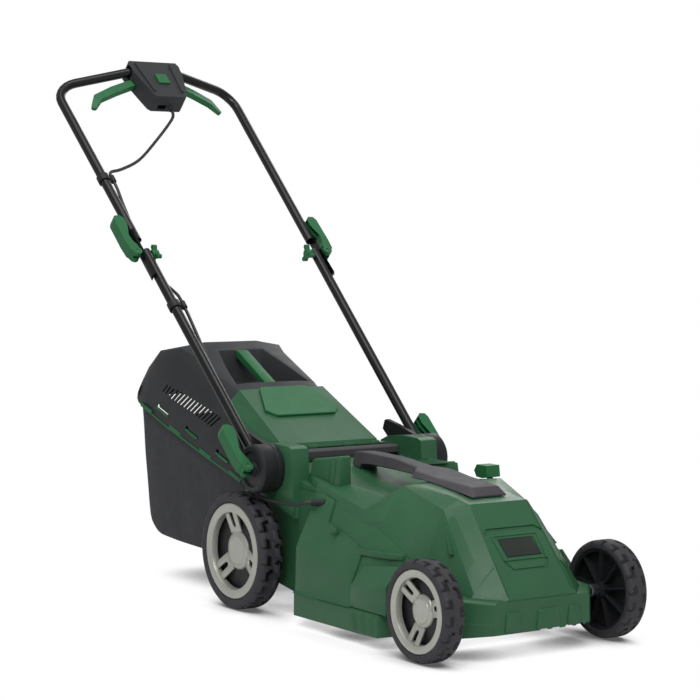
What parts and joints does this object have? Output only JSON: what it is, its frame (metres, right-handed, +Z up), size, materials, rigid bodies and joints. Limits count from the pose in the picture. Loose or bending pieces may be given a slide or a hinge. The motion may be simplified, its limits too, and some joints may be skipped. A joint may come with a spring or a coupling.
{
  "type": "push lawn mower",
  "caption": "Electric push mower with folding handle, four wheels on one height lever, rear flap and grass bag.",
  "frame": {"origin": "on the ground, at the middle of the whole machine's length and width", "axes": "+X to the operator's left, +Y from the front wheels towards the handle, +Z up"},
  "size_m": [0.4756, 1.3408, 1.031],
  "materials": {
    "green_plastic": "satin moulded",
    "bright_green_plastic": "satin moulded",
    "grey_plastic": "fine grained",
    "charcoal_plastic": "satin grained",
    "black_plastic": "satin moulded",
    "black_tube": "gloss black lacquer",
    "tyre_rubber": "satin rubber",
    "silver_trim": "satin silver lacquer",
    "zinc_steel": "zinc plated",
    "plated_steel": "plated",
    "black_steel": "satin black",
    "copper_winding": "lacquered winding",
    "cable_rubber": "satin",
    "bag_mesh": "woven mesh"
  },
  "bodies": {
    "chassis": {"deck_shell": "green_plastic", "motor_hood": "green_plastic", "badge_plate": "grey_plastic", "carry_handle": "grey_plastic", "rear_crossbar": "grey_plastic", "flap_rod": "zinc_steel", "pivot_brackets": "black_plastic", "deck_fasteners": "zinc_steel", "axle_clamps": "black_plastic", "cable_gland": "black_plastic", "cable_deck": "cable_rubber", "motor_frame": "plated_steel", "stator": "copper_winding", "motor_bearings": "zinc_steel"},
    "spindle": {"rotor": "plated_steel", "blade_fan": "black_plastic", "blade": "black_steel", "blade_bolt": "zinc_steel"},
    "front_axle": {"front_axle": "plated_steel"},
    "rear_axle": {"rear_axle": "plated_steel"},
    "link_rod": {"link_rod": "plated_steel"},
    "height_lever": {"height_lever": "black_steel", "height_knob": "bright_green_plastic"},
    "front_left_wheel": {"front_left_tyre": "tyre_rubber", "front_left_rim": "black_plastic", "front_left_trim": "silver_trim"},
    "front_right_wheel": {"front_right_tyre": "tyre_rubber", "front_right_rim": "black_plastic", "front_right_trim": "silver_trim"},
    "rear_left_wheel": {"rear_left_tyre": "tyre_rubber", "rear_left_rim": "black_plastic", "rear_left_trim": "silver_trim"},
    "rear_right_wheel": {"rear_right_tyre": "tyre_rubber", "rear_right_rim": "black_plastic", "rear_right_trim": "silver_trim"},
    "lower_handle": {"lower_tubes": "black_tube", "handle_knuckles": "black_plastic", "joint_bolts": "zinc_steel", "cable_lower": "cable_rubber", "cable_clip_lower": "black_plastic"},
    "base_lever_left": {"base_lever_left": "bright_green_plastic"},
    "base_lever_right": {"base_lever_right": "bright_green_plastic"},
    "fold_lever_left": {"fold_lever_left": "bright_green_plastic"},
    "fold_lever_right": {"fold_lever_right": "bright_green_plastic"},
    "wing_nut_left": {"wing_nut_left": "bright_green_plastic"},
    "wing_nut_right": {"wing_nut_right": "bright_green_plastic"},
    "upper_handle": {"upper_tube": "black_tube", "switch_box": "charcoal_plastic", "switch_cover": "charcoal_plastic", "cable_upper": "cable_rubber", "cable_clip_upper": "black_plastic"},
    "start_button": {"start_button": "bright_green_plastic"},
    "bail_left": {"bail_left": "bright_green_plastic"},
    "bail_right": {"bail_right": "bright_green_plastic"},
    "bag": {"bag_top": "charcoal_plastic", "bag_grip": "bright_green_plastic", "bag_fabric": "bag_mesh", "bag_frame": "zinc_steel"},
    "flap": {"flap_panel": "green_plastic", "flap_grip": "bright_green_plastic"}
  },
  "joints": [
    {"name": "height_set", "type": "hinge", "parent": "chassis", "child": "height_lever", "pos_m": [0, -0.43644, 0.124], "axis": [1, 0, 0], "range_deg": [0, 50]},
    {"name": "front_axle_turn", "type": "hinge", "parent": "chassis", "child": "front_axle", "pos_m": [0, -0.54656, 0.06541], "axis": [1, 0, 0], "range_deg": [0, 50]},
    {"name": "rear_axle_turn", "type": "hinge", "parent": "chassis", "child": "rear_axle", "pos_m": [0, 0.00944, 0.0879], "axis": [1, 0, 0], "range_deg": [0, 50]},
    {"name": "link_turn", "type": "hinge", "parent": "height_lever", "child": "link_rod", "pos_m": [0.1023, -0.43644, 0.174], "axis": [1, 0, 0], "range_deg": [-50, 0]},
    {"name": "front_left_roll", "type": "hinge", "parent": "front_axle", "child": "front_left_wheel", "pos_m": [0.192, -0.58644, 0.084], "axis": [1, 0, 0], "continuous": true},
    {"name": "front_right_roll", "type": "hinge", "parent": "front_axle", "child": "front_right_wheel", "pos_m": [-0.192, -0.58644, 0.084], "axis": [1, 0, 0], "continuous": true},
    {"name": "rear_left_roll", "type": "hinge", "parent": "rear_axle", "child": "rear_left_wheel", "pos_m": [0.192, -0.03044, 0.1065], "axis": [1, 0, 0], "continuous": true},
    {"name": "rear_right_roll", "type": "hinge", "parent": "rear_axle", "child": "rear_right_wheel", "pos_m": [-0.192, -0.03044, 0.1065], "axis": [1, 0, 0], "continuous": true},
    {"name": "blade_spin", "type": "hinge", "parent": "chassis", "child": "spindle", "pos_m": [0, -0.34644, 0], "axis": [0, 0, 1], "continuous": true},
    {"name": "base_fold", "type": "hinge", "parent": "chassis", "child": "lower_handle", "pos_m": [0, -0.08344, 0.261], "axis": [1, 0, 0], "range_deg": [0, 130]},
    {"name": "mid_fold", "type": "hinge", "parent": "lower_handle", "child": "upper_handle", "pos_m": [0, 0.31189, 0.63615], "axis": [-1, 0, 0], "range_deg": [-145, 0]},
    {"name": "base_cam_left", "type": "hinge", "parent": "chassis", "child": "base_lever_left", "pos_m": [0.217, -0.08344, 0.261], "axis": [0, 0.6884, -0.7254], "range_deg": [0, 120]},
    {"name": "base_cam_right", "type": "hinge", "parent": "chassis", "child": "base_lever_right", "pos_m": [-0.217, -0.08344, 0.261], "axis": [0, -0.6884, 0.7254], "range_deg": [0, 120]},
    {"name": "fold_cam_left", "type": "hinge", "parent": "lower_handle", "child": "fold_lever_left", "pos_m": [0.2218, 0.31189, 0.63615], "axis": [0, 0.6756, -0.7373], "range_deg": [0, 120]},
    {"name": "fold_cam_right", "type": "hinge", "parent": "lower_handle", "child": "fold_lever_right", "pos_m": [-0.2218, 0.31189, 0.63615], "axis": [0, -0.6756, 0.7373], "range_deg": [0, 120]},
    {"name": "nut_left_turn", "type": "hinge", "parent": "lower_handle", "child": "wing_nut_left", "pos_m": [0.18, 0.31189, 0.63615], "axis": [1, 0, 0], "continuous": true},
    {"name": "nut_right_turn", "type": "hinge", "parent": "lower_handle", "child": "wing_nut_right", "pos_m": [-0.18, 0.31189, 0.63615], "axis": [1, 0, 0], "continuous": true},
    {"name": "start_press", "type": "slide", "parent": "upper_handle", "child": "start_button", "axis": [0, 0.6756, -0.7373], "range_m": [0, 0.004], "stiffness_N_per_m": 400, "springref_m": -0.003},
    {"name": "bail_left_pull", "type": "hinge", "parent": "upper_handle", "child": "bail_left", "pos_m": [0.042, 0.62438, 0.98489], "axis": [0.2974, -0.645, 0.7039], "range_deg": [0, 12], "stiffness_Nm_per_rad": 1.2, "springref_deg": -14.32},
    {"name": "bail_right_pull", "type": "hinge", "parent": "upper_handle", "child": "bail_right", "pos_m": [-0.042, 0.62438, 0.98489], "axis": [0.2974, 0.645, -0.7039], "range_deg": [0, 12], "stiffness_Nm_per_rad": 1.2, "springref_deg": -14.32},
    {"name": "flap_swing", "type": "hinge", "parent": "chassis", "child": "flap", "pos_m": [0, -0.03044, 0.286], "axis": [1, 0, 0], "range_deg": [0, 70]},
    {"name": "bag_lift_off", "type": "slide", "parent": "chassis", "child": "bag", "axis": [0, 1, 0], "range_m": [0, 0.25]}
  ],
  "couplings": [
    {"joint": "front_axle_turn", "follows": "height_set", "ratio": 1},
    {"joint": "rear_axle_turn", "follows": "height_set", "ratio": 1},
    {"joint": "link_turn", "follows": "height_set", "ratio": -1}
  ]
}
